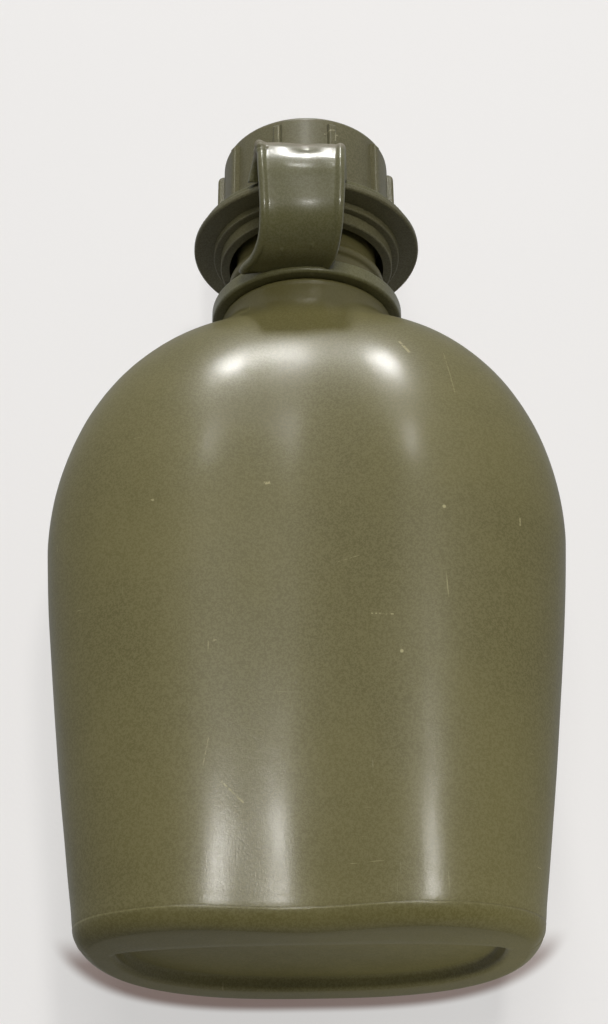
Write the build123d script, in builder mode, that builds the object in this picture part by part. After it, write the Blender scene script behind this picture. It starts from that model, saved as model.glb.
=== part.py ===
from build123d import *
from math import cos, pi, radians, sin
import os

# Canteen: a one-quart moulded bottle with a kidney-shaped section, a ribbed screw cap and a
# moulded strap that keeps the cap. Millimetres, +Z up along the neck. The origin is the centre of
# the neck's axis at the plane of the base rim. -Y is the hollow side that lies against the hip,
# and +Y is the convex outer side.

# ---- bottle body ----
HALF_WIDTH = 60.0        # widest half-width, reached at WAIST_Z
WAIST_Z = 92.0           # height of the widest section
CROWN_RISE = 71.0        # height of the shoulder's crown above WAIST_Z
CROWN_POWER = 2.06       # the shoulder's front outline: 2 would be an ellipse
DEPTH_POWER = 2.3        # how late the shoulder's depth rounds off
TAPER = 11.8             # how much the half-width shrinks from WAIST_Z to the base
TAPER_POWER = 1.22
BACK = 36.0              # convex side, measured from the neck's axis
FRONT = 41.3             # hollow side before the hollow is taken out of it
HOLLOW = 5.2             # depth of the hollow between the two lobes
HOLLOW_HALF_WIDTH = 44.0
ENDS_Y = -14.0           # where the section is widest
SECTION_POWER = 2.5      # roundness of the section's ends
OUTLINE_POINTS = 28      # points on one section's outline
WALL = 2.0
TOP_SECTION_Z = 161.5    # last section of the body, hidden inside the neck boss
LOWER_SECTIONS = 4
SHOULDER_SECTIONS = 8
BASE_FILLET = 4.0

# ---- base recess ----
RECESS_DEPTH = 3.0
RECESS_HALF_WIDTH = 40.6
RECESS_FRONT = 20.0
RECESS_BACK = 23.7
RECESS_ENDS_Y = -12.0
RECESS_SLOPE = 0.8       # how far the recess's wall leans in
RECESS_FILLET = 1.2

# ---- neck ----
BOSS_R = 22.2
BOSS_TOP = 164.0
BOSS_FOOT = 140.0        # inside the body
BOSS_FILLET = 3.0
BOSS_ROOT_LOW = 150.0    # every edge of the boss's root is above this
BOSS_RIM_FILLET = 1.0
NECK_SINK = 3.0          # how far the neck's wall starts inside the boss
OVERLAP = 1.0            # how far one joined solid reaches into another
GROOVE_R = 19.4          # seat of the strap's neck ring
BEAD_Z = 176.0
BEAD_R = 20.4
BEAD_HALF = 1.6
THREAD_ROOT_R = 18.4
NECK_SLOPE = 1.0         # height of the slope from the groove's radius to the thread's root
MOUTH_Z = 211.9
MOUTH_R = 15.6           # radius of the mouth's bore
MOUTH_CHAMFER = 1.0
MOUTH_FILLET = 0.6
BOSS_BORE_R = 19.4       # the bore widens to this towards the inside
BORE_SLOPE_TOP = 165.0
BORE_SLOPE_FOOT = 160.0

# ---- screw thread ----
PITCH = 5.0
THREAD_HEIGHT = 1.5
THREAD_ROOT_WIDTH = 2.6
THREAD_CREST_WIDTH = 1.2
THREAD_SINK = 0.3        # how far a ridge's root is buried in its wall
NECK_THREAD_Z = 190.0    # middle of the ridge where it starts
NECK_THREAD_TURNS = 3.0
CAP_THREAD_TURNS = 2.0

# ---- cap ----
CAP_TOP = 216.0
BARREL_R = 22.2
CAP_BORE_R = 20.4
CAP_ROOF = 2.4
FLANGE_Z = 187.0         # underside of the flange
FLANGE_R = 29.8
FLANGE_THICK = 1.8
STEP_R = 24.6            # first step under the flange
STEP_Z = 185.2
SKIRT_R = 22.7           # second step, round the mouth of the cap
SKIRT_Z = 182.0
RIB_COUNT = 10
RIB_FIRST = -106.0       # direction of one rib, in degrees from +X
RIB_WIDTH = 2.0
RIB_R = 23.9
RIB_TOP = 213.2
RIB_FILLET = 0.6
RIB_ROUND = 1.6          # radius of the rounded tops of the ribs
CAP_TOP_FILLET = 1.5
FLANGE_FILLET = 0.6
CAP_FILLET = 0.4         # every other outer rim of the cap

# ---- gasket ----
GASKET_R = 20.0
GASKET_CHAMFER = 0.2
SEAL_GAP = 0.05          # gap each side of the gasket

# ---- strap ----
STRAP_TURN = -90.0       # direction of the strap's loop, in degrees from +X
NECK_RING_R = 24.6
NECK_RING_BORE_R = 19.8
NECK_RING_Z = 164.1
NECK_RING_HEIGHT = 4.2
NECK_RING_FILLET = 0.8
CAP_RING_R = 28.6
CAP_RING_BORE_R = 24.4
CAP_RING_Z = FLANGE_Z + FLANGE_THICK + 0.1    # a hair above the flange
CAP_RING_HEIGHT = 2.0
CAP_RING_FILLET = 0.5
BAND_WIDTH = 22.3
BAND_THICK = 1.5
EDGE_BEAD_R = 1.25       # rounded beads along the band's edges
BAND_FOOT = 26.2         # where the loop leaves the neck ring's plane, from the neck's axis
BAND_LOWER_BEND = 12.4   # radii of the loop's middle line, from the neck ring upwards
BAND_MIDDLE_BEND = 13.4
BAND_UPPER_BEND = 6.0
BAND_LOWER_TURN = 77.4   # heading after the lower bend, in degrees above level
BAND_MIDDLE_TURN = 28.6  # how much each later bend turns it
BAND_UPPER_TURN = 134.0
BAND_LOWER_RUN = 5.4     # straight lengths after each bend
BAND_UPPER_RUN = 2.5
BAND_END = 1.8           # the last one ends in the cap ring
FLARE = 3.0              # how far the band widens where it joins the neck ring
FLARE_START = 6.0        # where the flare starts, inwards from BAND_FOOT
RING_GAP = 0.05          # gap between the band's end and the cap ring, which moves
TOLERANCE = 0.01         # for picking faces and edges by their place


def power(value, exponent):
    """value to a power, with its sign kept"""
    return abs(value) ** exponent * (1 if value >= 0 else -1)


def section_points(half_width, depth_share, hollow, inset):
    """Closed kidney outline: front and back shrink by depth_share, the whole by inset."""
    half_width -= inset
    middle = ENDS_Y * depth_share
    back = BACK * depth_share - inset
    front = FRONT * depth_share - inset
    points = []
    for i in range(OUTLINE_POINTS):
        turn = 2 * pi * i / OUTLINE_POINTS
        x = half_width * power(cos(turn), 2 / SECTION_POWER)
        reach = abs(sin(turn)) ** (2 / SECTION_POWER)
        if sin(turn) >= 0:
            y = middle + (back - middle) * reach
        else:
            y = middle - (front + middle) * reach
            if abs(x) < HOLLOW_HALF_WIDTH:
                y += hollow * ((1 + cos(pi * x / HOLLOW_HALF_WIDTH)) / 2) ** 2
        points.append((x, y))
    return points


def lower_section(z, inset):
    """Outline between the base and the widest section."""
    drop = (WAIST_Z - z) / WAIST_Z
    return section_points(HALF_WIDTH - TAPER * drop ** TAPER_POWER, 1.0, HOLLOW, inset)


def shoulder_section(z, inset):
    """Outline between the widest section and the crown."""
    rise = (z - WAIST_Z) / CROWN_RISE
    half_width = HALF_WIDTH * (1 - rise ** CROWN_POWER) ** (1 / CROWN_POWER)
    depth_share = (1 - rise ** 2) ** (1 / DEPTH_POWER)
    return section_points(half_width, depth_share, HOLLOW * (1 - rise ** 2), inset)


def recess_points(inset):
    """Closed outline of the recess under the base, grown outwards by inset."""
    half_width = RECESS_HALF_WIDTH + inset
    points = []
    for i in range(OUTLINE_POINTS):
        turn = 2 * pi * i / OUTLINE_POINTS
        reach = RECESS_BACK - RECESS_ENDS_Y if sin(turn) >= 0 else RECESS_FRONT + RECESS_ENDS_Y
        x = half_width * power(cos(turn), 2 / SECTION_POWER)
        y = RECESS_ENDS_Y + (reach + inset) * power(sin(turn), 2 / SECTION_POWER)
        points.append((x, y))
    return points


def body_outlines(bottom, top, inset):
    """Heights and outlines of the body's sections, closer together near the crown."""
    outlines = []
    for i in range(LOWER_SECTIONS):
        z = bottom + (WAIST_Z - bottom) * i / LOWER_SECTIONS
        outlines.append((z, lower_section(z, inset)))
    for i in range(SHOULDER_SECTIONS + 1):
        z = WAIST_Z + (top - WAIST_Z) * sin(i / SHOULDER_SECTIONS * pi / 2)
        outlines.append((z, shoulder_section(z, inset)))
    return outlines


def rims(part, radius, z):
    """Circular edges of one radius at one height."""
    circles = part.edges().filter_by(GeomType.CIRCLE)
    level = [e for e in circles if abs(e.center().Z - z) < TOLERANCE]
    return [e for e in level if abs(e.radius - radius) < TOLERANCE]


def heading(degrees):
    """Unit vector in a sketch plane, degrees above its x direction."""
    return (cos(radians(degrees)), sin(radians(degrees)))


def upright_plane(turn):
    """Plane through the neck's axis: x outwards in direction turn, y up."""
    a = radians(turn)
    return Plane(origin=(0, 0, 0), x_dir=(cos(a), sin(a), 0), z_dir=(sin(a), -cos(a), 0))


os.makedirs("parts", exist_ok=True)

# ---- thread ridges: one on the neck, one in the cap, half a pitch apart ----
with BuildPart() as neck_ridge:
    with BuildLine():
        spiral = Helix(
            PITCH, PITCH * NECK_THREAD_TURNS, THREAD_ROOT_R, center=(0, 0, NECK_THREAD_Z)
        )
    with BuildSketch(Plane(origin=spiral @ 0, x_dir=(1, 0, 0), z_dir=spiral % 0)):
        with BuildLine():
            Polyline(
                (-THREAD_SINK, -THREAD_ROOT_WIDTH / 2), (THREAD_HEIGHT, -THREAD_CREST_WIDTH / 2),
                (THREAD_HEIGHT, THREAD_CREST_WIDTH / 2), (-THREAD_SINK, THREAD_ROOT_WIDTH / 2),
                close=True,
            )
        make_face()
    sweep(path=spiral, is_frenet=True)

with BuildPart() as cap_ridge:
    with BuildLine():
        spiral = Helix(
            PITCH, PITCH * CAP_THREAD_TURNS, CAP_BORE_R, center=(0, 0, NECK_THREAD_Z + PITCH / 2)
        )
    with BuildSketch(Plane(origin=spiral @ 0, x_dir=(1, 0, 0), z_dir=spiral % 0)):
        with BuildLine():
            Polyline(
                (THREAD_SINK, -THREAD_ROOT_WIDTH / 2), (-THREAD_HEIGHT, -THREAD_CREST_WIDTH / 2),
                (-THREAD_HEIGHT, THREAD_CREST_WIDTH / 2), (THREAD_SINK, THREAD_ROOT_WIDTH / 2),
                close=True,
            )
        make_face()
    sweep(path=spiral, is_frenet=True)

# ---- bottle ----
with BuildPart() as bottle:
    for z, outline in body_outlines(0.0, TOP_SECTION_Z, 0.0):
        with BuildSketch(Plane.XY.offset(z)):
            with BuildLine():
                Spline(*outline, periodic=True)
            make_face()
    loft()
    fillet(bottle.edges().filter_by(Plane.XY).sort_by(Axis.Z)[0], BASE_FILLET)

    # the boss that carries the neck, blended into the shoulder
    with BuildSketch(Plane.XY.offset(BOSS_FOOT)):
        Circle(BOSS_R)
    extrude(amount=BOSS_TOP - BOSS_FOOT)
    curved = [e for e in bottle.edges() if e.geom_type != GeomType.LINE]
    root = [e for e in curved if BOSS_ROOT_LOW < e.center().Z < BOSS_TOP - OVERLAP]
    fillet(root, BOSS_FILLET)
    fillet(bottle.faces().filter_by(Plane.XY).sort_by(Axis.Z)[-1].edges(), BOSS_RIM_FILLET)

    # the inside, one wall in from the outside all round
    for z, outline in body_outlines(WALL, TOP_SECTION_Z - WALL, WALL):
        with BuildSketch(Plane.XY.offset(z)):
            with BuildLine():
                Spline(*outline, periodic=True)
            make_face()
    loft(mode=Mode.SUBTRACT)
    level_faces = bottle.faces().filter_by(Plane.XY)
    inner_floor = [f for f in level_faces if abs(f.center().Z - WALL) < TOLERANCE][0]
    fillet(inner_floor.edges(), BASE_FILLET - WALL)

    # the recess under the base, with the floor raised over it
    with BuildSketch():
        with BuildLine():
            Spline(*recess_points(WALL), periodic=True)
        make_face()
    extrude(amount=RECESS_DEPTH + WALL)
    for z, inset in ((0.0, 0.0), (RECESS_DEPTH, -RECESS_SLOPE)):
        with BuildSketch(Plane.XY.offset(z)):
            with BuildLine():
                Spline(*recess_points(inset), periodic=True)
            make_face()
    loft(ruled=True, mode=Mode.SUBTRACT)
    base_rim = bottle.faces().filter_by(Plane.XY).sort_by(Axis.Z)[0]
    fillet(base_rim.inner_wires()[0].edges(), RECESS_FILLET)

    # the neck, then its bore
    with BuildSketch(Plane.XZ):
        with BuildLine():
            Polyline(
                (MOUTH_R - OVERLAP, BOSS_TOP - NECK_SINK), (GROOVE_R, BOSS_TOP - NECK_SINK),
                (GROOVE_R, BEAD_Z - BEAD_HALF),
            )
            ThreePointArc(
                (GROOVE_R, BEAD_Z - BEAD_HALF), (BEAD_R, BEAD_Z), (GROOVE_R, BEAD_Z + BEAD_HALF)
            )
            Polyline(
                (GROOVE_R, BEAD_Z + BEAD_HALF),
                (THREAD_ROOT_R, BEAD_Z + BEAD_HALF + NECK_SLOPE),
                (THREAD_ROOT_R, MOUTH_Z - MOUTH_CHAMFER),
                (THREAD_ROOT_R - MOUTH_CHAMFER, MOUTH_Z),
                (MOUTH_R - OVERLAP, MOUTH_Z),
                (MOUTH_R - OVERLAP, BOSS_TOP - NECK_SINK),
            )
        make_face()
    revolve()
    with BuildSketch(Plane.XZ):
        with BuildLine():
            Polyline(
                (0, BOSS_FOOT), (BOSS_BORE_R, BOSS_FOOT), (BOSS_BORE_R, BORE_SLOPE_FOOT),
                (MOUTH_R, BORE_SLOPE_TOP), (MOUTH_R, MOUTH_Z), (0, MOUTH_Z), close=True,
            )
        make_face()
    revolve(mode=Mode.SUBTRACT)
    fillet(rims(bottle, MOUTH_R, MOUTH_Z), MOUTH_FILLET)
    add(neck_ridge.part)
bottle.part.label = "bottle"
export_step(bottle.part, "parts/bottle.step")

# ---- cap ----
flange_top = FLANGE_Z + FLANGE_THICK
rib_foot = flange_top - OVERLAP
rib_depth = RIB_R - BARREL_R + OVERLAP
with BuildPart() as grip_ribs:
    with BuildSketch(Plane.XY.offset(rib_foot)):
        with PolarLocations(RIB_R - rib_depth / 2, RIB_COUNT, start_angle=RIB_FIRST):
            RectangleRounded(rib_depth, RIB_WIDTH, RIB_FILLET)
    extrude(amount=RIB_TOP - rib_foot)
    with BuildSketch(Plane.XZ):
        with BuildLine():
            Polyline(
                (RIB_R - RIB_ROUND, RIB_TOP), (0, RIB_TOP), (0, FLANGE_Z), (RIB_R, FLANGE_Z),
                (RIB_R, RIB_TOP - RIB_ROUND),
            )
            TangentArc((RIB_R, RIB_TOP - RIB_ROUND), (RIB_R - RIB_ROUND, RIB_TOP), tangent=(0, 1))
        make_face()
    revolve(mode=Mode.INTERSECT)

with BuildPart() as cap:
    with BuildSketch(Plane.XZ):
        with BuildLine():
            Polyline(
                (0, CAP_TOP), (BARREL_R, CAP_TOP), (BARREL_R, flange_top), (FLANGE_R, flange_top),
                (FLANGE_R, FLANGE_Z), (STEP_R, FLANGE_Z), (STEP_R, STEP_Z), (SKIRT_R, STEP_Z),
                (SKIRT_R, SKIRT_Z), (CAP_BORE_R, SKIRT_Z), (CAP_BORE_R, CAP_TOP - CAP_ROOF),
                (0, CAP_TOP - CAP_ROOF), close=True,
            )
        make_face()
    revolve()
    add(grip_ribs.part)
    fillet(rims(cap, BARREL_R, CAP_TOP), CAP_TOP_FILLET)
    fillet(rims(cap, FLANGE_R, flange_top) + rims(cap, FLANGE_R, FLANGE_Z), FLANGE_FILLET)
    fillet(rims(cap, STEP_R, STEP_Z) + rims(cap, SKIRT_R, SKIRT_Z), CAP_FILLET)
    add(cap_ridge.part)
cap.part.label = "cap"
export_step(cap.part, "parts/cap.step")

# ---- gasket ----
with BuildPart() as cap_gasket:
    with BuildSketch(Plane.XY.offset(MOUTH_Z + SEAL_GAP)):
        Circle(GASKET_R)
    extrude(amount=CAP_TOP - CAP_ROOF - MOUTH_Z - 2 * SEAL_GAP)
    chamfer(cap_gasket.edges().filter_by(GeomType.CIRCLE), GASKET_CHAMFER)
cap_gasket.part.label = "cap_gasket"
export_step(cap_gasket.part, "parts/cap_gasket.step")

# ---- strap: ring round the neck, ring round the cap, and the band that joins them ----
with BuildPart() as strap_neck_ring:
    with BuildSketch(Plane.XY.offset(NECK_RING_Z)):
        Circle(NECK_RING_R)
        Circle(NECK_RING_BORE_R, mode=Mode.SUBTRACT)
    extrude(amount=NECK_RING_HEIGHT)
    fillet(strap_neck_ring.edges().filter_by(GeomType.CIRCLE), NECK_RING_FILLET)
strap_neck_ring.part.label = "strap_neck_ring"
export_step(strap_neck_ring.part, "parts/strap_neck_ring.step")

with BuildPart() as strap_cap_ring:
    with BuildSketch(Plane.XY.offset(CAP_RING_Z)):
        Circle(CAP_RING_R)
        Circle(CAP_RING_BORE_R, mode=Mode.SUBTRACT)
    extrude(amount=CAP_RING_HEIGHT)
    fillet(strap_cap_ring.edges().filter_by(GeomType.CIRCLE), CAP_RING_FILLET)
strap_cap_ring.part.label = "strap_cap_ring"
export_step(strap_cap_ring.part, "parts/strap_cap_ring.step")

with BuildPart() as strap_band:
    foot_z = NECK_RING_Z + NECK_RING_HEIGHT / 2
    middle_heading = BAND_LOWER_TURN + BAND_MIDDLE_TURN
    side = upright_plane(STRAP_TURN)
    with BuildLine(side) as loop:
        Line((NECK_RING_R - OVERLAP, foot_z), (BAND_FOOT, foot_z))
        lower = JernArc((BAND_FOOT, foot_z), (1, 0), BAND_LOWER_BEND, BAND_LOWER_TURN)
        lower_run = PolarLine(lower @ 1, BAND_LOWER_RUN, BAND_LOWER_TURN)
        middle = JernArc(
            lower_run @ 1, heading(BAND_LOWER_TURN), BAND_MIDDLE_BEND, BAND_MIDDLE_TURN
        )
        upper_run = PolarLine(middle @ 1, BAND_UPPER_RUN, middle_heading)
        upper = JernArc(upper_run @ 1, heading(middle_heading), BAND_UPPER_BEND, BAND_UPPER_TURN)
        PolarLine(upper @ 1, BAND_END, middle_heading + BAND_UPPER_TURN)
    path = loop.wires()[0]
    bead_middle = BAND_WIDTH / 2 - EDGE_BEAD_R
    with BuildSketch(Plane(origin=path @ 0, x_dir=(0, 0, 1), z_dir=path % 0)):
        Rectangle(BAND_THICK, 2 * bead_middle)
        with GridLocations(0, 2 * bead_middle, 1, 2):
            Circle(EDGE_BEAD_R)
    sweep(path=path)
    # the web that widens the band where it joins the neck ring
    web_in = BAND_FOOT - FLARE_START
    web_out = BAND_FOOT + FLARE
    web_half = BAND_WIDTH / 2 + FLARE
    web_plane = Plane((0, 0, foot_z - BAND_THICK / 2), x_dir=side.x_dir, z_dir=(0, 0, 1))
    with BuildSketch(web_plane):
        with BuildLine():
            Polyline(
                (web_out, -bead_middle), (web_in, -web_half), (web_in, web_half),
                (web_out, bead_middle), close=True,
            )
        make_face()
    extrude(amount=BAND_THICK)
    # room for the two rings
    with BuildSketch(Plane.XY.offset(NECK_RING_Z - FLARE)):
        Circle(NECK_RING_R)
    extrude(amount=NECK_RING_HEIGHT + 2 * FLARE, mode=Mode.SUBTRACT)
    with BuildSketch(Plane.XY.offset(CAP_RING_Z - RING_GAP)):
        Circle(CAP_RING_R + RING_GAP)
    extrude(amount=CAP_RING_HEIGHT + 2 * RING_GAP, mode=Mode.SUBTRACT)
strap_band.part.label = "strap_band"
export_step(strap_band.part, "parts/strap_band.step")
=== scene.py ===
from math import cos, pi, radians, sin
import bpy
import numpy as np
from mathutils import Matrix, Vector


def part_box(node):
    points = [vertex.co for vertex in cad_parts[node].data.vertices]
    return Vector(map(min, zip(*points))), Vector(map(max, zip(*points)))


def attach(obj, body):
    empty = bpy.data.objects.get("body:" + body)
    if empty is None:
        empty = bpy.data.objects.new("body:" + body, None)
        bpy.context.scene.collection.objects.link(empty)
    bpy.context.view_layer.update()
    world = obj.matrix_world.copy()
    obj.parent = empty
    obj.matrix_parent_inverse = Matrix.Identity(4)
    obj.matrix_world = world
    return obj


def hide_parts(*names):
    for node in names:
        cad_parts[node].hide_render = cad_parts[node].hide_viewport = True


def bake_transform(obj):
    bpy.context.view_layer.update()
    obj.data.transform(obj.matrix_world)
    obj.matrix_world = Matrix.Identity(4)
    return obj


# Canteen: a moulded plastic bottle with a ribbed screw cap and the strap that keeps the cap.
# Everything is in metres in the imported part's frame: +Z along the neck, -Y the hollow side.

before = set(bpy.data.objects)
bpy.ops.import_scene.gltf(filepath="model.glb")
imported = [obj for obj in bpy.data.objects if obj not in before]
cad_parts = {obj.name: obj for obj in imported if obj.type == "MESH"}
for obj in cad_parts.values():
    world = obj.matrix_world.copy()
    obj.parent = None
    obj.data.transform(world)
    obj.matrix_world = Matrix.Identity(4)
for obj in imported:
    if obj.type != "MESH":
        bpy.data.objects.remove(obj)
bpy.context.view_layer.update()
MM = 0.001


# ---------------------------------------------------------------- small helpers
def smooth_step(a, b, x):
    """0 at a, 1 at b and smooth in between; a may be the larger of the two."""
    t = np.clip((np.asarray(x, float) - a) / (b - a), 0, 1)
    return t * t * (3 - 2 * t)


def smooth_max(a, b, k):
    """The larger of two values, rounded over k where they are close."""
    h = np.maximum(k - np.abs(a - b), 0) / k
    return np.maximum(a, b) + h * h * k / 4


def make_object(name, verts, faces):
    """Smooth-shaded mesh object in the scene."""
    mesh = bpy.data.meshes.new(name)
    mesh.from_pydata([tuple(v) for v in verts], [], faces)
    mesh.validate()
    mesh.polygons.foreach_set("use_smooth", [True] * len(mesh.polygons))
    obj = bpy.data.objects.new(name, mesh)
    bpy.context.scene.collection.objects.link(obj)
    return obj


def grid_object(name, rows, start_point, end_point):
    """Rows of points round a loop, joined row to row, with a pole point closing each end."""
    rows = np.asarray(rows, float)
    count, around = rows.shape[:2]
    verts = list(rows.reshape(-1, 3))
    verts += [np.array(start_point, float), np.array(end_point, float)]
    start, end = count * around, count * around + 1
    faces = []
    for i in range(count - 1):
        a, b = i * around, (i + 1) * around
        for j in range(around):
            k = (j + 1) % around
            faces.append((a + j, a + k, b + k, b + j))
    last = (count - 1) * around
    faces += [(start, (j + 1) % around, j) for j in range(around)]
    faces += [(end, last + j, last + (j + 1) % around) for j in range(around)]
    return make_object(name, verts, faces)


def add_attribute(obj, name, values):
    """One number per vertex, for a material to read."""
    layer = obj.data.attributes.new(name, "FLOAT", "POINT")
    layer.data.foreach_set("value", np.asarray(values, np.float32))


# ---------------------------------------------------------------- bottle
# The body's outline follows the part's source, in metres.
HALF_WIDTH = 0.0600       # widest half-width, reached at WAIST_Z
WAIST_Z = 0.0920
CROWN_RISE = 0.0710       # height of the shoulder's crown above WAIST_Z
CROWN_END = 0.9995        # the sections stop just short of the crown's point
CROWN_POWER = 2.06        # the shoulder's front outline: 2 would be an ellipse
DEPTH_POWER = 2.3         # how late the shoulder's depth rounds off
TAPER = 0.0118            # how much the half-width shrinks from WAIST_Z to the base
TAPER_POWER = 1.22
BACK = 0.0360             # convex side, measured from the neck's axis
FRONT = 0.0413            # hollow side before the hollow is taken out of it
HOLLOW = 0.0052           # depth of the hollow between the two lobes
HOLLOW_HALF = 0.0440      # half the hollow's width
ENDS_Y = -0.0140          # where the section is widest
SECTION_POWER = 2.5       # roundness of the section's ends
OUTLINE_STEPS = 2880      # points that an outline is measured at
WALL = 0.0020

# Surface of the wall: it stays a little inside the CAD surface, and a blown wall is uneven.
INSIDE_CAD = 0.00018
WAVE_DEPTH = 0.00022
WAVES_FADE_Z = 0.150      # the unevenness fades from here to the top of the boss
PARTING_ANGLE = radians(14.3)    # how far each parting line lies from the X axis
PARTING_DEPTH = 0.00022   # shallow valley along a parting line
PARTING_HALF = 0.0030
PARTING_CREST = 0.00042   # half-width of the fine crest in its middle

# The walls draw in towards the foot on the hollow side, most of all in the hollow.
FRONT_FROM, FRONT_FULL = 0.004, -0.024    # where that side begins and is full, from ENDS_Y
DRAW_REACH = 0.028        # height at which the lobes begin to draw in
DRAW_REACH_MORE = 0.020   # how much higher the hollow begins
DRAW_IN = 0.0010          # how far the lobes draw in
DRAW_IN_MORE = 0.0011     # how much further the hollow does

# Foot: a soft ridge, the crease, the lip under it and the recess in the base.
CREASE_Z = 0.0054         # where the walls turn under the foot
RIDGE_OUT = 0.00014
RIDGE_HALF = 0.0022
RIDGE_DROP = 0.0004       # how far the ridge's middle is under the crease
LIP_DROP = 0.0006         # how far under the crease the lip begins
LIP_IN = 0.0038           # how far the lip draws in below that
LIP_POWER = 1.15          # above 1, the lip turns in sooner
RECESS_DEPTH = 0.0030
RECESS_CROWN = 0.00035    # how much the recess's floor rises in its middle
RECESS_HALF_WIDTH = 0.0406
RECESS_ENDS_Y = -0.0120   # where the recess is widest
RECESS_BACK = 0.0357      # reach from there to the convex side
RECESS_FRONT = 0.0080     # reach from there to the hollow side
RECESS_POWER = 0.8        # 2 / 2.5: the recess's ends are as round as the body's
RECESS_STEPS = 1440
RECESS_FOOT = 0.0012      # height where the recess's wall turns out to the rim
RECESS_LEAN = 0.0004      # how far the wall leans in there
RECESS_ROUND = 0.0014     # how far the turn reaches out

# Neck: boss, groove, bead, thread and mouth.
BOSS_R = 0.0222
BOSS_TOP = 0.1640
BOSS_FROM = 0.120         # the boss shows in the sections above this
BOSS_BLEND = 0.0052       # how softly it grows out of the shoulder
BOSS_ROUND = 0.001
BOSS_CLEAR = 0.002        # the parting lines stop this far out of the boss
GROOVE_R = 0.0194         # seat of the strap's neck ring
BEAD_Z = 0.1760
BEAD_OUT = 0.001
BEAD_HALF = 0.0016
ROOT_R = 0.0184           # radius at the thread's root
PITCH = 0.0050
THREAD_Z = 0.1900         # middle of the ridge where it starts
THREAD_TURNS = 3
THREAD_HEIGHT = 0.0015
THREAD_HALF = 0.0013      # half the ridge's width at its root
THREAD_FLANK = 0.0007     # width of each of its flanks
THREAD_LEAD = 0.12        # turns over which the ridge rises and ends
MOUTH_R = 0.0156
MOUTH_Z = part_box("bottle")[1][2]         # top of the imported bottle
MOUTH_ROUND = 0.0006

# Inside: the wall is a hair thicker than the CAD's, and widens into the boss's bore.
INNER_SLACK = 0.0003
BORE_R = 0.0194
BORE_FROM = 0.138
BORE_BLEND = 0.002
INNER_FLOOR_Z = 0.0054    # top of the floor, over the recess


def outline(half, share, hollow, inset=0.0):
    """Section of the body as x and y, for a half-width, a share of the depth and a hollow."""
    t = np.linspace(0, 2 * pi, OUTLINE_STEPS + 1)[:-1]
    c, s = np.cos(t), np.sin(t)
    x = (half - inset) * np.sign(c) * np.abs(c) ** (2 / SECTION_POWER)
    reach = np.abs(s) ** (2 / SECTION_POWER)
    middle = ENDS_Y * share
    back, front = BACK * share - inset, FRONT * share - inset
    y = np.where(s >= 0, middle + (back - middle) * reach, middle - (front + middle) * reach)
    dip = hollow * ((1 + np.cos(pi * x / HOLLOW_HALF)) / 2) ** 2
    y = np.where((s < 0) & (np.abs(x) < HOLLOW_HALF), y + dip, y)
    return x, y


def polar_radius(x, y, directions):
    """How far an outline is from the neck's axis in the directions given."""
    a = np.arctan2(y, x)
    order = np.argsort(a)
    return np.interp(directions, a[order], np.hypot(x, y)[order], period=2 * pi)


def section(z):
    """Half-width, share of the depth and hollow of the body at height z."""
    if z < WAIST_Z:
        return HALF_WIDTH - TAPER * ((WAIST_Z - z) / WAIST_Z) ** TAPER_POWER, 1.0, HOLLOW
    rise = min((z - WAIST_Z) / CROWN_RISE, CROWN_END)
    half = HALF_WIDTH * (1 - rise ** CROWN_POWER) ** (1 / CROWN_POWER)
    return half, (1 - rise ** 2) ** (1 / DEPTH_POWER), HOLLOW * (1 - rise ** 2)


def ring_directions():
    """Directions of a row's points, in finer steps beside the two parting lines."""
    span, fine_step, step = 6.0, 0.3, 1.5
    even = np.radians(np.arange(-180, 180, step))
    fine = np.radians(np.arange(-span, span + 0.01, fine_step))
    parting_at = (-PARTING_ANGLE, pi + PARTING_ANGLE)
    near = [np.abs((even - at + pi) % (2 * pi) - pi) < radians(span + 0.6) for at in parting_at]
    return np.sort(np.concatenate([
        even[~(near[0] | near[1])], parting_at[0] + fine,
        (parting_at[1] + fine + pi) % (2 * pi) - pi,
    ]))


phi = ring_directions()
COS, SIN = np.cos(phi), np.sin(phi)


def ring(radius, z):
    """Row of points at height z, with one radius or one for each direction."""
    radius = np.broadcast_to(radius, phi.shape)
    return np.stack([radius * COS, radius * SIN, np.full(phi.shape, z)], 1)


def waviness(points):
    """Slow unevenness of a blown wall, 0 to 1."""
    x, y, z = points.T / MM
    w = (
        np.sin(0.11 * x + 0.07 * z + 0.4) + np.sin(0.083 * z - 0.09 * y + 1.7)
        + np.sin(0.15 * x - 0.05 * z + 2.9) + np.sin(0.19 * z + 0.06 * x + 0.8)
        + 0.7 * np.sin(0.31 * x + 0.23 * z + 5.1) + 0.7 * np.sin(0.27 * z - 0.21 * x + 3.3)
    )
    return w / 10.8 + 0.5


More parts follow.
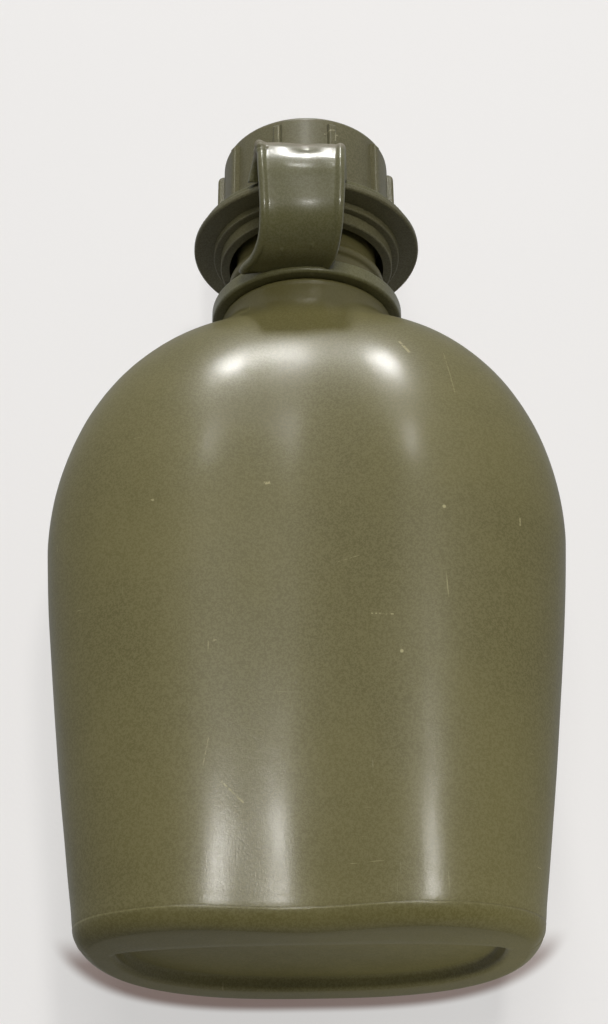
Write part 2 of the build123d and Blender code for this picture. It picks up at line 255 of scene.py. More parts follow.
def body_row(z):
    """Row of the outer wall at height z."""
    half, share, hollow = section(z)
    radius = polar_radius(*outline(half, share, hollow), phi)
    boss = BOSS_R if z > BOSS_FROM else 0.0
    row = ring(smooth_max(radius, boss, BOSS_BLEND), z)
    # the moulding's parting line along the two narrow sides
    off = np.abs(row[:, 1] - ENDS_Y * share)
    on_side = (np.abs(row[:, 0]) > 0.5 * half) & (radius > BOSS_R + BOSS_CLEAR)
    crest = np.exp(-(off / PARTING_CREST) ** 2)
    valley = np.exp(-(off / PARTING_HALF) ** 2)
    parting = np.where(on_side, PARTING_DEPTH * valley * (1 - crest), 0)
    # the walls draw in a little towards the foot, sooner in the hollow than on the lobes
    x = row[:, 0]
    front = smooth_step(FRONT_FROM, FRONT_FULL, row[:, 1] - ENDS_Y)
    in_hollow = ((1 + np.cos(pi * np.clip(x / HOLLOW_HALF, -1, 1))) / 2) ** 2
    reach = DRAW_REACH + DRAW_REACH_MORE * in_hollow
    drawn = (DRAW_IN + DRAW_IN_MORE * in_hollow) * front * np.clip(1 - z / reach, 0, 1) ** 2
    ridge = -RIDGE_OUT * np.exp(-((z - CREASE_Z + RIDGE_DROP) / RIDGE_HALF) ** 2)
    fade = smooth_step(BOSS_TOP, WAVES_FADE_Z, z)
    inwards = parting + ridge + drawn + INSIDE_CAD + WAVE_DEPTH * fade * waviness(row)
    length = np.hypot(row[:, 0], row[:, 1])
    row[:, :2] *= (1 - inwards / length)[:, None]
    return row


def recess_row(grow, z):
    """Outline of the recess in the base, grown outwards, at height z."""
    t = np.linspace(0, 2 * pi, RECESS_STEPS + 1)[:-1]
    c, s = np.cos(t), np.sin(t)
    x = (RECESS_HALF_WIDTH + grow) * np.sign(c) * np.abs(c) ** RECESS_POWER
    reach = np.where(s >= 0, RECESS_BACK, RECESS_FRONT) + grow
    y = RECESS_ENDS_Y + reach * np.sign(s) * np.abs(s) ** RECESS_POWER
    return ring(polar_radius(x, y, phi), z)


def recess_rows():
    """The recess, from the middle of its floor down its wall to the flat rim."""
    floor_edge = recess_row(-0.0016, RECESS_DEPTH)
    made = []
    for share in (0.04, 0.12, 0.24, 0.38, 0.52, 0.66, 0.78, 0.88, 0.95):
        row = floor_edge.copy()
        row[:, :2] *= share
        row[:, 2] += RECESS_CROWN * (1 - share ** 2)
        made.append(row)
    made.append(floor_edge)
    made.append(recess_row(-0.0010, RECESS_DEPTH - 0.0002))
    made.append(recess_row(-0.0007, RECESS_DEPTH - 0.0007))
    made.append(recess_row(-RECESS_LEAN, RECESS_FOOT))
    for a in np.radians([20, 40, 60, 75, 90]):
        grow = -RECESS_LEAN + RECESS_ROUND * (1 - cos(a))
        made.append(recess_row(grow, RECESS_FOOT * (1 - sin(a))))
    return made


def lip_rows():
    """Under the crease the lip curves in to the flat rim; the first row is at the rim."""
    lip_top = CREASE_Z - LIP_DROP
    top_row = body_row(lip_top)
    length = np.hypot(top_row[:, 0], top_row[:, 1])
    made = []
    for a in np.radians([0, 6, 14, 22, 30, 38, 46, 54, 62, 70, 78, 84]):
        row = top_row.copy()
        row[:, :2] *= ((length - LIP_IN * (1 - sin(a) ** LIP_POWER)) / length)[:, None]
        row[:, 2] = lip_top * (1 - cos(a))
        made.append(row)
    return made


def wall_rows():
    """The outer wall up to the boss, in finer steps at the foot and round the boss's root."""
    levels = np.concatenate([
        np.arange(0.0041, 0.0086, 0.0002), np.arange(0.0090, 0.0140, 0.0008),
        np.arange(0.0150, 0.1180, 0.0019), np.arange(0.1195, 0.1390, 0.0013),
        np.arange(0.1400, 0.1628, 0.0004),
    ])
    return [body_row(z) for z in levels]


def groove_rows():
    """The boss's rounded rim, the groove of the strap's ring and the bead above it."""
    made = []
    for a in np.radians([0, 18, 36, 54, 72, 90]):
        made.append(ring(BOSS_R - BOSS_ROUND * (1 - cos(a)),
                         BOSS_TOP - BOSS_ROUND + BOSS_ROUND * sin(a)))
    made.append(ring(GROOVE_R + 0.0003, BOSS_TOP))
    made.append(ring(GROOVE_R, BOSS_TOP + 0.0003))
    for z in (0.1655, 0.1685, 0.1715, 0.1738):
        made.append(ring(GROOVE_R, z))
    for a in np.radians(np.linspace(-80, 80, 11)):
        made.append(ring(GROOVE_R + BEAD_OUT * cos(a), BEAD_Z + BEAD_HALF * sin(a)))
    made.append(ring(GROOVE_R - 0.0002, BEAD_Z + 0.0019))
    return made


def thread_radius(z):
    """Radius of the neck at height z, with its turns of thread."""
    round_by = (phi % (2 * pi)) / (2 * pi)
    turn = (z - THREAD_Z) / PITCH - round_by
    nearest = np.clip(np.round(turn), 0, THREAD_TURNS - 1)
    off = np.abs(turn - nearest) * PITCH
    along_ridge = nearest + round_by
    height = (smooth_step(0, THREAD_LEAD, along_ridge)
              * smooth_step(THREAD_TURNS, THREAD_TURNS - THREAD_LEAD, along_ridge))
    flank = np.clip((THREAD_HALF - off) / THREAD_FLANK, 0, 1)
    return ROOT_R + THREAD_HEIGHT * height * flank


def mouth_rows():
    """The threaded neck, the mouth's chamfer and rounded inner edge, and the bore."""
    made = [ring(thread_radius(z), z) for z in np.arange(0.1786, MOUTH_Z - 0.0011, 0.00035)]
    for dr, dz in ((0.0, -0.0010), (-0.0003, -0.0007), (-0.0007, -0.0003), (-0.0010, 0.0)):
        made.append(ring(ROOT_R + dr, MOUTH_Z + dz))
    for a in np.radians([0, 30, 60, 90]):
        made.append(ring(MOUTH_R + MOUTH_ROUND * (1 - sin(a)), MOUTH_Z - MOUTH_ROUND * (1 - cos(a))))
    for z in (0.200, 0.185, 0.172, 0.165):
        made.append(ring(MOUTH_R, z))
    made.append(ring(0.0175, 0.1625))
    return made


def inner_row(z):
    """Row of the inner wall at height z."""
    half, share, hollow = section(z)
    radius = polar_radius(*outline(half, share, hollow, WALL), phi) - INNER_SLACK
    return ring(smooth_max(radius, BORE_R if z > BORE_FROM else 0.0, BORE_BLEND), z)


def inner_rows():
    """The inner wall from the neck down, its rounded foot, and the floor over the recess."""
    levels = np.concatenate([np.arange(0.1600, 0.1380, -0.0016), np.arange(0.1360, 0.0060, -0.0065)])
    made = [inner_row(z) for z in levels]
    for z, grow in ((0.0040, 0.0012), (0.0028, 0.0030)):
        row = inner_row(0.0060)
        length = np.hypot(row[:, 0], row[:, 1])
        row[:, :2] *= ((length - grow) / length)[:, None]
        row[:, 2] = z
        made.append(row)
    made.append(recess_row(0.0026, 0.0024))
    made.append(recess_row(0.0022, INNER_FLOOR_Z - 0.0002))
    for share in (0.7, 0.35):
        row = recess_row(0.0, INNER_FLOOR_Z)
        row[:, :2] *= share
        made.append(row)
    return made


def bottle_rows():
    """Every row of the bottle, from the recess out, up the wall, over the mouth and inside."""
    recess, lip = recess_rows(), lip_rows()
    rim = [recess[-1] * (1 - t) + lip[0] * t for t in (0.25, 0.5, 0.75)]
    return recess + rim + lip + wall_rows() + groove_rows() + mouth_rows() + inner_rows()


bottle_shell = grid_object(
    "bottle_shell", bottle_rows(), start_point=(0, 0, RECESS_DEPTH + RECESS_CROWN),
    end_point=(0, 0, INNER_FLOOR_Z),
)
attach(bottle_shell, "bottle")
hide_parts("bottle")


# ---------------------------------------------------------------- strap band
# Places round the neck are in metres; lengths along and across the band are in millimetres.
TURN = radians(-89.5)     # direction of the loop
RADIAL = np.array([cos(TURN), sin(TURN), 0.0])
SIDEWAYS = np.array([-sin(TURN), cos(TURN), 0.0])
UP = np.array([0.0, 0.0, 1.0])
neck_low, neck_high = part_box("strap_neck_ring")
FOOT_Z = (neck_low[2] + neck_high[2]) / 2
FOOT_FROM, FOOT_TO = 0.0225, 0.0262       # the straight stretch out of the neck's ring
# each piece: radius of the bend (0 for a straight), its turn in degrees or its length, its steps
PIECES = ((0.0124, 77.4, 44), (0, 0.0054, 12), (0.0134, 28.6, 16),
          (0, 0.0025, 6), (0.0060, 134.0, 48), (0, 0.0016, 4))
# where the band's left and right edges are, at distances along it
LEFT_AT = [0, 2.0, 4.5, 7.5, 11, 14, 19, 24, 31, 38, 42, 46, 49, 53]
LEFT = [-16.2, -15.2, -13.4, -11.8, -10.6, -10.1, -9.9, -10.1, -10.5, -10.7, -11.5, -12.4, -13.4, -14.2]
RIGHT_AT = [0, 2.0, 4.5, 7.5, 11, 14, 19, 24, 31, 53]
RIGHT = [6.6, 7.2, 8.3, 9.1, 9.8, 10.3, 10.7, 11.0, 11.2, 11.4]
HALF_THICK = 0.75
BEAD = 1.2                # radius of the bead along each edge
BEAD_OPEN = 52            # degrees of the bead that the flat of the band covers, each side
TILT = 0.075              # how much the loop's top leans to one side
WEDGES = ((-4.9, 5.6), (2.5, 6.8))        # small moulded wedges: where across, where they begin
WEDGE_HALF = 0.38
WEDGE_HEIGHT = 0.40
DENT_AT = (1.5, 35.0)     # shallow dent near the top of the loop: across, along
# the loop's worn top is also painted paler there, as a highlight where it faces the lamps
WORN_AND_LIT_FROM, WORN_AND_LIT_TO = (34.2, 37.0), (43.5, 46.0)    # where the wear begins and ends


def band_line():
    """Middle line of the loop in its own plane: distance from the neck's axis, height."""
    points = [(r, FOOT_Z) for r in np.linspace(FOOT_FROM, FOOT_TO, 5)]
    heading = 0.0
    for bend, amount, count in PIECES:
        turned_by = radians(amount) / count if bend else 0.0
        length = bend * turned_by if bend else amount / count
        for _ in range(count):
            heading += turned_by / 2
            r, z = points[-1]
            points.append((r + length * cos(heading), z + length * sin(heading)))
            heading += turned_by / 2
    return np.array(points)


def smooth_curve(at, values, where):
    """Curve through given values, rounded at its corners."""
    samples = np.arange(0, 60, 0.5)
    rough = np.interp(samples, at, values)
    kernel = np.hanning(9)
    padded = np.pad(rough, 4, mode="edge")
    even = np.convolve(padded, kernel / kernel.sum(), mode="valid")
    return np.interp(where, samples, even)


line = band_line()
step = np.hypot(*np.diff(line, axis=0).T)
along = np.concatenate([[0], np.cumsum(step)]) / MM
left = smooth_curve(LEFT_AT, LEFT, along)
right = smooth_curve(RIGHT_AT, RIGHT, along)


def band_section(half):
    """Closed section of the band about its middle: across, out of the band; beads at both edges."""
    flat = half - BEAD
    inner = flat - BEAD * cos(radians(BEAD_OPEN))
    points = []
    for a in np.radians(np.linspace(BEAD_OPEN - 180, 180 - BEAD_OPEN, 15)):
        points.append((flat + BEAD * cos(a), BEAD * sin(a)))
    for u in np.linspace(inner - 0.4, -inner + 0.4, 51):
        points.append((u, HALF_THICK))
    for a in np.radians(np.linspace(BEAD_OPEN, 360 - BEAD_OPEN, 15)):
        points.append((-flat + BEAD * cos(a), BEAD * sin(a)))
    for u in np.linspace(-inner + 0.4, inner - 0.4, 51):
        points.append((u, -HALF_THICK))
    return points


def moulded(u, v, s, half, mid):
    """Where a point of the section lies at distance s, with the band's details and damage."""
    # the moulded loop is slightly uneven across its width
    v += 0.10 * sin(0.55 * u + 0.12 * s) * smooth_step(6, 14, s)
    if v > 0.5:
        for across, begin in WEDGES:
            rise = smooth_step(begin, begin + 2.2, s)
            end = smooth_step(begin + 2.9, begin + 2.3, s)
            v += WEDGE_HEIGHT * np.exp(-((mid + u - across) / WEDGE_HALF) ** 2) * rise * end
    # a torn burr along the bead at one side of the loop's top
    torn = smooth_step(33, 35, s) * smooth_step(44, 41, s)
    if u < -half + 2 * BEAD:
        lump = sin(2.1 * s) + sin(3.7 * s + 1.3)
        v += 0.22 * torn * lump
        u -= 0.20 * torn * (lump + 1)
    v -= 0.35 * np.exp(-((u - DENT_AT[0]) / 2.6) ** 2 - ((s - DENT_AT[1]) / 1.1) ** 2)
    return u, v


def band_rows():
    """The band's section at each point of its middle line."""
    rows = []
    tangent = np.gradient(line, axis=0)
    tangent /= np.hypot(*tangent.T)[:, None]
    for i, (r, z) in enumerate(line):
        half = (right[i] - left[i]) / 2
        mid = (right[i] + left[i]) / 2
        normal = (tangent[i, 1], -tangent[i, 0])
        tilt = TILT * smooth_step(18, 36, along[i]) * smooth_step(54, 44, along[i])
        row = []
        for u, v in band_section(half):
            u, v = moulded(u, v, along[i], half, mid)
            p = RADIAL * (r + normal[0] * v * MM) + UP * (z + normal[1] * v * MM)
            row.append(p + SIDEWAYS * (mid + u) * MM - UP * tilt * u * MM)
        rows.append(row)
    return np.array(rows)


rows = band_rows()
strap_loop = grid_object(
    "strap_loop", rows, start_point=rows[0].mean(0), end_point=rows[-1].mean(0),
)
# mask of the loop's top: wear, and a painted paler highlight where it faces the lamps
worn_and_lit_rows = smooth_step(*WORN_AND_LIT_FROM, along) * smooth_step(*reversed(WORN_AND_LIT_TO), along)
worn_and_lit = np.repeat(worn_and_lit_rows, rows.shape[1])
add_attribute(strap_loop, "worn_and_lit", np.concatenate([worn_and_lit, worn_and_lit_rows[[0, -1]]]))


# ---------------------------------------------------------------- materials
class Nodes:
    """Short spelling for a material's node tree."""

    def __init__(self, name):
        self.material = bpy.data.materials.new(name)
        self.material.use_nodes = True
        self.tree = self.material.node_tree
        self.tree.nodes.clear()
        self.coords = self.add("ShaderNodeTexCoord").outputs["Object"]

    def add(self, kind, inputs=(), **settings):
        node = self.tree.nodes.new(kind)
        for key, value in settings.items():
            setattr(node, key, value)
        for key, value in dict(inputs).items():
            if isinstance(value, bpy.types.NodeSocket):
                self.tree.links.new(value, node.inputs[key])
            else:
                node.inputs[key].default_value = value
        return node

    def noise(self, scale, detail=3.0, rough=0.55, coords=None, distortion=0.0):
        return self.add("ShaderNodeTexNoise", {
            "Vector": coords or self.coords, "Scale": scale, "Detail": detail,
            "Roughness": rough, "Distortion": distortion,
        }).outputs["Fac"]

    def stretched(self, scale, turn=(0, 0, 0)):
        return self.add("ShaderNodeMapping", {
            "Vector": self.coords, "Scale": scale, "Rotation": turn,
        }).outputs["Vector"]

    def ramp(self, value, low, high, out_low=0.0, out_high=1.0):
        return self.add("ShaderNodeMapRange", {
            "Value": value, "From Min": low, "From Max": high,
            "To Min": out_low, "To Max": out_high,
        }, interpolation_type="SMOOTHSTEP").outputs["Result"]

    def math(self, operation, a, b=0.0, clamp=False):
        node = self.add("ShaderNodeMath", {0: a, 1: b}, operation=operation, use_clamp=clamp)
        return node.outputs[0]

    def mix(self, factor, a, b):
        """Colour a mixed with b; a Mix node's sockets share names, so they go by index."""
        node = self.add("ShaderNodeMix", {0: factor}, data_type="RGBA")
        for index, value in ((6, a), (7, b)):
            if isinstance(value, bpy.types.NodeSocket):
                self.tree.links.new(value, node.inputs[index])
            else:
                node.inputs[index].default_value = value
        return node.outputs[2]

    def along(self, direction, start):
        """Distance along a direction, from where start is."""
        node = self.add("ShaderNodeVectorMath", {0: self.coords, 1: direction},
                        operation="DOT_PRODUCT")
        return self.math("SUBTRACT", node.outputs["Value"], start)

    def stroke(self, ends, half_width):
        """A straight mark on the side that faces -Y, between two points given as x, z in mm."""
        x0, z0, x1, z1 = (value * MM for value in ends)
        length = max(np.hypot(x1 - x0, z1 - z0), 1e-6)
        cx, cz = (x1 - x0) / length, (z1 - z0) / length
        xm, zm = (x0 + x1) / 2, (z0 + z1) / 2
        by = self.math("ABSOLUTE", self.along((cx, 0, cz), xm * cx + zm * cz))
        off = self.math("ABSOLUTE", self.along((-cz, 0, cx), zm * cx - xm * cz))
        beyond = self.math("SUBTRACT", by, length / 2)
        away = self.math("MAXIMUM", beyond, off)
        return self.ramp(away, half_width * MM, half_width * MM * 0.3)


def dust_specks(n):
    """Small pale specks, 0 to 1, in a few of a Voronoi texture's cells."""
    cells = n.add("ShaderNodeTexVoronoi", {"Vector": n.coords, "Scale": 95.0, "Randomness": 1.0})
    shade_of_cell = n.add("ShaderNodeSeparateColor", {0: cells.outputs["Color"]}).outputs[0]
    chosen = n.ramp(shade_of_cell, 0.93, 0.95)
    return n.math("MULTIPLY", n.ramp(cells.outputs["Distance"], 0.055, 0.025), chosen)


def fine_scratches(n):
    """Long fine scratches in two directions, 0 to 1, here and there."""
    scratch = None
    threshold, softness = 0.735, 0.035
    for scale, turn in (((110, 120, 2300), (0.3, 0.6, 0.2)), ((2100, 130, 90), (0.5, -0.4, 0.9))):
        lines = n.noise(1.0, 2.0, 0.5, n.stretched(scale, turn), distortion=0.4)
        patch = n.ramp(n.noise(34.0, 2.0), 0.54, 0.62)
        mark = n.math("MULTIPLY", n.ramp(lines, threshold, threshold + softness), patch)
        scratch = mark if scratch is None else n.math("MAXIMUM", scratch, mark)
    return scratch


def add_strokes(n, marks, strokes):
    """Marks with the listed strokes added, ragged, on the side that faces -Y."""
    facing = n.ramp(n.along((0, 1, 0), 0.0), -0.005, -0.010)
    ragged = n.ramp(n.noise(1400.0, 3.0), 0.36, 0.56)
    for ends, half_width, weight in strokes:
        mark = n.math("MULTIPLY", n.stroke(ends, half_width), n.math("MULTIPLY", facing, ragged))
        marks = n.math("MAXIMUM", marks, n.math("MULTIPLY", mark, weight))
    return marks


# pale colour of the loop's worn top: a painted highlight over the wear
WORN_AND_LIT_COLOUR = (0.30, 0.265, 0.215, 1)


def olive(name, colour, light, dark, rough, gloss, grain=1.0, strokes=(), shade=None, wear_and_light=None):
    """Moulded olive plastic: mottled colour, fine grain, dust specks, scratches, painted shade where asked,
    and wear with a painted paler highlight on it.
    """
    n = Nodes(name)
    cloudy = n.ramp(n.noise(22.0, 4.0, 0.6), 0.34, 0.66)
    base = n.mix(cloudy, (*dark, 1), (*colour, 1))
    fine_grain = n.noise(3300.0, 2.0, 0.6)
    coarse_grain = n.noise(1700.0, 2.0, 0.6)
    speckle = n.ramp(n.math("ADD", fine_grain, coarse_grain), 0.86, 1.14)
    base = n.mix(n.math("MULTIPLY", speckle, 0.45), base, (*light, 1))
    # painted shade: the colour darkens towards a dark copy of itself where the shade mask says
    if shade is not None:
        base = n.mix(shade(n), base, (*(c * 0.55 for c in colour), 1))
    scratch = fine_scratches(n)
    spots = add_strokes(n, dust_specks(n), strokes)
    marks = n.math("MULTIPLY", n.math("MAXIMUM", spots, n.math("MULTIPLY", scratch, 0.6)), 0.55,
                   clamp=True)
    pale = tuple(min(1, c * 2.3 + 0.10) for c in light)
    base = n.mix(marks, base, (*pale, 1))
    # wear makes the surface rougher and less glossy; its pale colour is a painted highlight
    if wear_and_light is not None:
        worn_and_lit = n.math("MULTIPLY", wear_and_light(n), n.ramp(n.noise(420.0, 4.0), 0.20, 0.60, 0.45, 1.0))
        base = n.mix(n.math("MULTIPLY", worn_and_lit, 0.62, clamp=True), base, WORN_AND_LIT_COLOUR)
        marks = n.math("MAXIMUM", marks, worn_and_lit)
        gloss = n.math("MULTIPLY", n.math("SUBTRACT", 1.0, worn_and_lit, clamp=True), gloss)
    smear = n.noise(45.0, 5.0, 0.65, n.stretched((1.0, 1.0, 0.35)))
    roughness = n.math("ADD", n.ramp(smear, 0.3, 0.7, rough - 0.05, rough + 0.07),
                       n.math("MULTIPLY", marks, 0.25))
    # grain and scratches, then the slower ripple of a blown wall
    height = n.math("ADD", n.math("MULTIPLY", coarse_grain, 0.3 * grain),
                    n.math("MULTIPLY", fine_grain, 0.5 * grain))
    height = n.math("SUBTRACT", height, n.math("MULTIPLY", scratch, 0.4))
    grained = n.add("ShaderNodeBump", {"Height": height, "Strength": 0.30, "Distance": 0.00013})
    rippled = n.add("ShaderNodeBump", {
        "Height": n.noise(75.0, 2.0, 0.45), "Strength": 0.30, "Distance": 0.00030,
        "Normal": grained.outputs["Normal"],
    })
    shader = n.add("ShaderNodeBsdfPrincipled", {
        "Base Color": base, "Roughness": roughness, "Normal": rippled.outputs["Normal"],
        "IOR": 1.5, "Specular IOR Level": 0.5, "Coat Weight": gloss,
        "Coat Roughness": n.ramp(smear, 0.3, 0.7, 0.17, 0.25), "Coat IOR": 1.5,
        "Coat Normal": rippled.outputs["Normal"],
    })
    n.add("ShaderNodeOutputMaterial", {"Surface": shader.outputs[0]})
    return n.material


def painted_boss_shade(n):
    """Painted shade over the neck boss, where the flange and the strap shade it: darker from the shoulder
    up, 0 to 0.6.
    """
    at = n.add("ShaderNodeSeparateXYZ", {0: n.coords})
    return n.ramp(at.outputs["Z"], 0.1520, 0.1575, 0.0, 0.60)


def worn_and_lit_loop_top(n):
    """Where the top of the strap's loop is worn rough and painted paler as a highlight, 0 to 1."""
    return n.add("ShaderNodeAttribute", attribute_name="worn_and_lit").outputs["Fac"]


# Scuffs and pale spots that stand out: ends as x, z, x, z in mm, half-width in mm, strength
BOTTLE_MARKS = (
    ((-7.8, 98.0, -7.2, 98.1), 0.55, 1.0), ((14.9, 65.1, 19.3, 64.5), 0.22, 0.9),
    ((-16.1, 28.8, -11.9, 24.8), 0.25, 0.8), ((33.3, 136.0, 35.2, 121.7), 0.20, 0.35),
    ((23.2, 138.6, 25.2, 134.8), 0.45, 0.8), ((-32.7, 93.4, -32.5, 93.4), 0.40, 0.8),
    ((47.8, 87.4, 47.9, 89.6), 0.22, 0.8), ((-18.2, 59.6, -18.0, 59.6), 0.35, 0.5),
    ((-20.0, 32.0, -19.0, 38.0), 0.16, 0.5), ((8.0, 78.0, 12.5, 79.0), 0.14, 0.4),
)
CAP_MARKS = (
    ((6.1, 210.2, 9.3, 210.6), 0.30, 1.0), ((8.9, 210.6, 8.8, 207.2), 0.22, 1.0),
    ((-6.0, 212.0, -6.0, 205.0), 0.25, 0.6),
)
# the bottle's colour has painted shade over its neck boss
bottle_material = olive(
    "olive_bottle", (0.150, 0.132, 0.043), (0.225, 0.202, 0.088), (0.122, 0.107, 0.033),
    rough=0.42, gloss=0.42, strokes=BOTTLE_MARKS, shade=painted_boss_shade,
)
cap_material = olive(
    "olive_cap", (0.118, 0.108, 0.050), (0.190, 0.175, 0.100), (0.095, 0.087, 0.038),
    rough=0.44, gloss=0.3, strokes=CAP_MARKS,
)
# the strap's colour has a painted paler highlight on the worn top of its loop
strap_material = olive(
    "olive_strap", (0.125, 0.119, 0.044), (0.185, 0.175, 0.095), (0.098, 0.093, 0.032),
    rough=0.40, gloss=0.8, grain=0.6, wear_and_light=worn_and_lit_loop_top,
)


def rubber_material():
    """Matt black rubber of the gasket."""
    n = Nodes("gasket_rubber_black")
    mottled = n.mix(n.ramp(n.noise(300.0, 4.0), 0.35, 0.65), (0.022, 0.021, 0.020, 1),
                    (0.040, 0.038, 0.036, 1))
    bump = n.add("ShaderNodeBump", {"Height": n.noise(1500.0, 4.0), "Strength": 0.3,
                                    "Distance": 0.0002})
    shader = n.add("ShaderNodeBsdfPrincipled", {
        "Base Color": mottled, "Normal": bump.outputs["Normal"],
        "Roughness": n.ramp(n.noise(220.0), 0.3, 0.7, 0.62, 0.78),
    })
    n.add("ShaderNodeOutputMaterial", {"Surface": shader.outputs[0]})
    return n.material


def dress(obj, material):
    """Give every slot of an object one material."""
    if len(obj.data.materials) == 0:
        obj.data.materials.append(material)
    for i in range(len(obj.material_slots)):
        obj.material_slots[i].material = material


dress(bottle_shell, bottle_material)
dress(strap_loop, strap_material)
dress(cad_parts["cap"], cap_material)
dress(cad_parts["strap_neck_ring"], strap_material)
dress(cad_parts["strap_cap_ring"], strap_material)
dress(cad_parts["cap_gasket"], rubber_material())

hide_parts("strap_band")
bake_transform(strap_loop)


# ---------------------------------------------------------------- stage
PALE = (0.36, 0.353, 0.349, 1)
GLOW = 0.67               # strength of the pale surfaces' own light
SHEET_SIZE = 3.0
BACKDROP_GAP = 0.0008     # how far the backdrop stands behind the bottle
FLOOR_GAP = 0.0004


def painted_contact_shadow(n):
    """Painted brownish shadow on the backdrop close under the bottle's foot, 0 to 1."""
    at = n.add("ShaderNodeSeparateXYZ", {0: n.coords})
    x, z = at.outputs["X"], at.outputs["Z"]
    across = n.math("POWER", n.math("DIVIDE", n.math("ABSOLUTE", n.math("SUBTRACT", x, -0.0025)),
                                    0.0625), 3.0)
    down = n.math("POWER", n.math("DIVIDE", n.math("ABSOLUTE", n.math("SUBTRACT", z, 0.030)),
                                  0.0315), 3.0)
    around = n.ramp(n.math("ADD", across, down), 1.10, 0.90, 0.0, 0.85)
    return n.math("MULTIPLY", around, n.ramp(z, 0.017, 0.009))


def one_sided(name, shade=None):
    """Pale plain surface that only shows from its front, with a painted shadow where the shade mask says.
    """
    n = Nodes(name)
    tone = n.mix(n.noise(9.0, 3.0), tuple(c * 0.985 for c in PALE[:3]) + (1,), PALE)
    weave = n.add("ShaderNodeBump", {"Height": n.noise(900.0, 2.0), "Strength": 0.15,
                                     "Distance": 0.0003})
    cloth = n.add("ShaderNodeBsdfDiffuse", {"Color": tone, "Normal": weave.outputs["Normal"]})
    bright = n.mix(n.noise(5.0, 2.0), (0.80, 0.785, 0.775, 1), (0.82, 0.807, 0.797, 1))
    # painted shadow: the cloth and its glow turn dark brown under the shade mask
    if shade is not None:
        cover = shade(n)
        tone = n.mix(cover, tone, (0.13, 0.055, 0.035, 1))
        bright = n.mix(cover, bright, (0.12, 0.045, 0.028, 1))
    glow = n.add("ShaderNodeEmission", {"Color": bright, "Strength": GLOW})
    lit = n.add("ShaderNodeAddShader", {0: cloth.outputs[0], 1: glow.outputs[0]})
    clear = n.add("ShaderNodeBsdfTransparent")
    side = n.add("ShaderNodeNewGeometry").outputs["Backfacing"]
    mixed = n.add("ShaderNodeMixShader", {0: side, 1: lit.outputs[0], 2: clear.outputs[0]})
    n.add("ShaderNodeOutputMaterial", {"Surface": mixed.outputs[0]})
    return n.material


def sheet(name, centre_at, normal, material):
    """Large square sheet that the camera sees, and that casts no shadow or reflection."""
    rot = Vector(normal).to_track_quat("Z", "Y").to_matrix()
    corners = [Vector((a * SHEET_SIZE, b * SHEET_SIZE, 0)) for a, b in ((-1, -1), (1, -1), (1, 1), (-1, 1))]
    obj = make_object(name, [Vector(centre_at) + rot @ c for c in corners], [(0, 1, 2, 3)])
    dress(obj, material)
    obj.visible_shadow = False
    obj.visible_diffuse = False
    obj.visible_glossy = False
    return obj


backdrop = sheet("stage_backdrop", (0, BACK + BACKDROP_GAP, 0.1), (0, -1, 0),
                 one_sided("pale_backdrop", painted_contact_shadow))
backdrop.visible_diffuse = True
sheet("stage_floor", (0, 0, -FLOOR_GAP), (0, 0, 1), one_sided("pale_floor"))

# The sky gives less light from below.
world = bpy.data.worlds.new("studio")
bpy.context.scene.world = world
world.use_nodes = True
sky = world.node_tree
background = sky.nodes["Background"]
background.inputs["Color"].default_value = (0.86, 0.87, 0.88, 1)
direction = sky.nodes.new("ShaderNodeTexCoord")
parts = sky.nodes.new("ShaderNodeSeparateXYZ")
sky.links.new(direction.outputs["Generated"], parts.inputs[0])
strength = sky.nodes.new("ShaderNodeMapRange")
strength.interpolation_type = "SMOOTHSTEP"
strength.inputs["From Min"].default_value = -0.35
strength.inputs["From Max"].default_value = 0.20
strength.inputs["To Min"].default_value = 0.07
strength.inputs["To Max"].default_value = 0.35
sky.links.new(parts.outputs["Z"], strength.inputs["Value"])
sky.links.new(strength.outputs["Result"], background.inputs["Strength"])


def area_light(name, at, aim, size, power, colour=(1, 1, 1), size_y=None):
    """Lamp in metres and watts, seen in reflections but not by the camera."""
    data = bpy.data.lights.new(name, "AREA")
    data.energy = power
    data.color = colour
    data.size = size
    if size_y is not None:
        data.shape = "RECTANGLE"
        data.size_y = size_y
    obj = bpy.data.objects.new(name, data)
    bpy.context.scene.collection.objects.link(obj)
    obj.location = at
    obj.rotation_euler = (Vector(aim) - Vector(at)).to_track_quat("-Z", "Y").to_euler()
    obj.visible_camera = False
    return obj


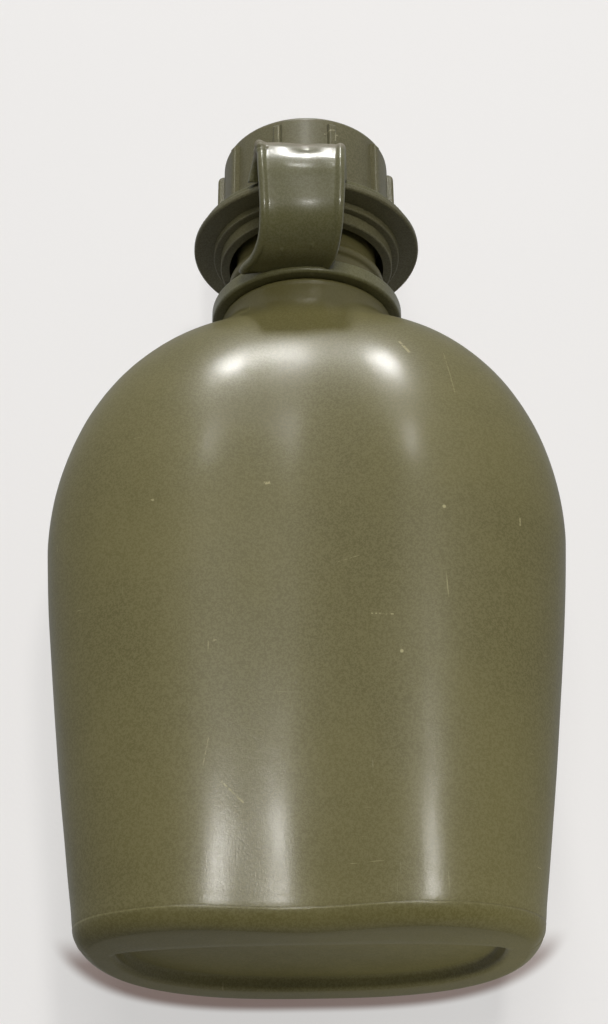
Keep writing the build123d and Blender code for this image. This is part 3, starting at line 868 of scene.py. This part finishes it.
soft_front = area_light("soft_front", at=(0.05, -1.25, 0.30), aim=(0, 0, 0.1), size=0.45,
                        power=4.6, colour=(1.0, 0.985, 0.96))
soft_front.visible_glossy = False
area_light("lamp_low", at=(0.195, -1.01, 0.190), aim=(0, 0, 0.03), size=0.09, size_y=0.06,
           power=2.3, colour=(1.0, 0.98, 0.95))
area_light("lamp_mid", at=(0.05, -0.90, 0.92), aim=(0, 0, 0.15), size=0.08, power=0.9,
           colour=(1.0, 0.99, 0.97))
area_light("lamp_crown", at=(0.00, -0.37, 1.02), aim=(0, 0, 0.15), size=0.08, power=2.6,
           colour=(1.0, 0.99, 0.97))
lamp_under = area_light("lamp_under", at=(0.13, -0.06, -0.19), aim=(0.04, 0, 0), size=0.03,
                        power=0.009)
lamp_under.data.spread = radians(36)
lamp_under.visible_glossy = False

# ---------------------------------------------------------------- camera
# It stands low in front of the foot and looks up at the bottle.
FOCAL_PX = 1624.9         # focal length, for a picture 1024 pixels high
PICTURE_HEIGHT = 1024
SENSOR_MM = 36.0
DISTANCE = 0.3505         # from the neck's axis
BELOW = 0.0766            # how far it is under the base
azimuth, pan, pitch, roll = radians(2.5), radians(0.17), radians(28.0), radians(0.37)
camera_data = bpy.data.cameras.new("camera")
camera_data.sensor_width = SENSOR_MM
camera_data.lens = FOCAL_PX * SENSOR_MM / PICTURE_HEIGHT
camera_data.clip_start = 0.01
camera = bpy.data.objects.new("camera", camera_data)
bpy.context.scene.collection.objects.link(camera)
bpy.context.scene.camera = camera
aim = azimuth + pan
forward = Vector((-sin(aim) * cos(pitch), cos(aim) * cos(pitch), sin(pitch)))
right_way = forward.cross(Vector((0, 0, 1))).normalized()
up_way = right_way.cross(forward)
up_rolled = up_way * cos(roll) + right_way * sin(roll)
right_rolled = right_way * cos(roll) - up_way * sin(roll)
turned = Matrix((right_rolled, up_rolled, -forward)).transposed()
camera.matrix_world = Matrix.Translation((
    DISTANCE * sin(azimuth), -DISTANCE * cos(azimuth), -BELOW,
)) @ turned.to_4x4()
bpy.context.scene.view_settings.view_transform = "Standard"
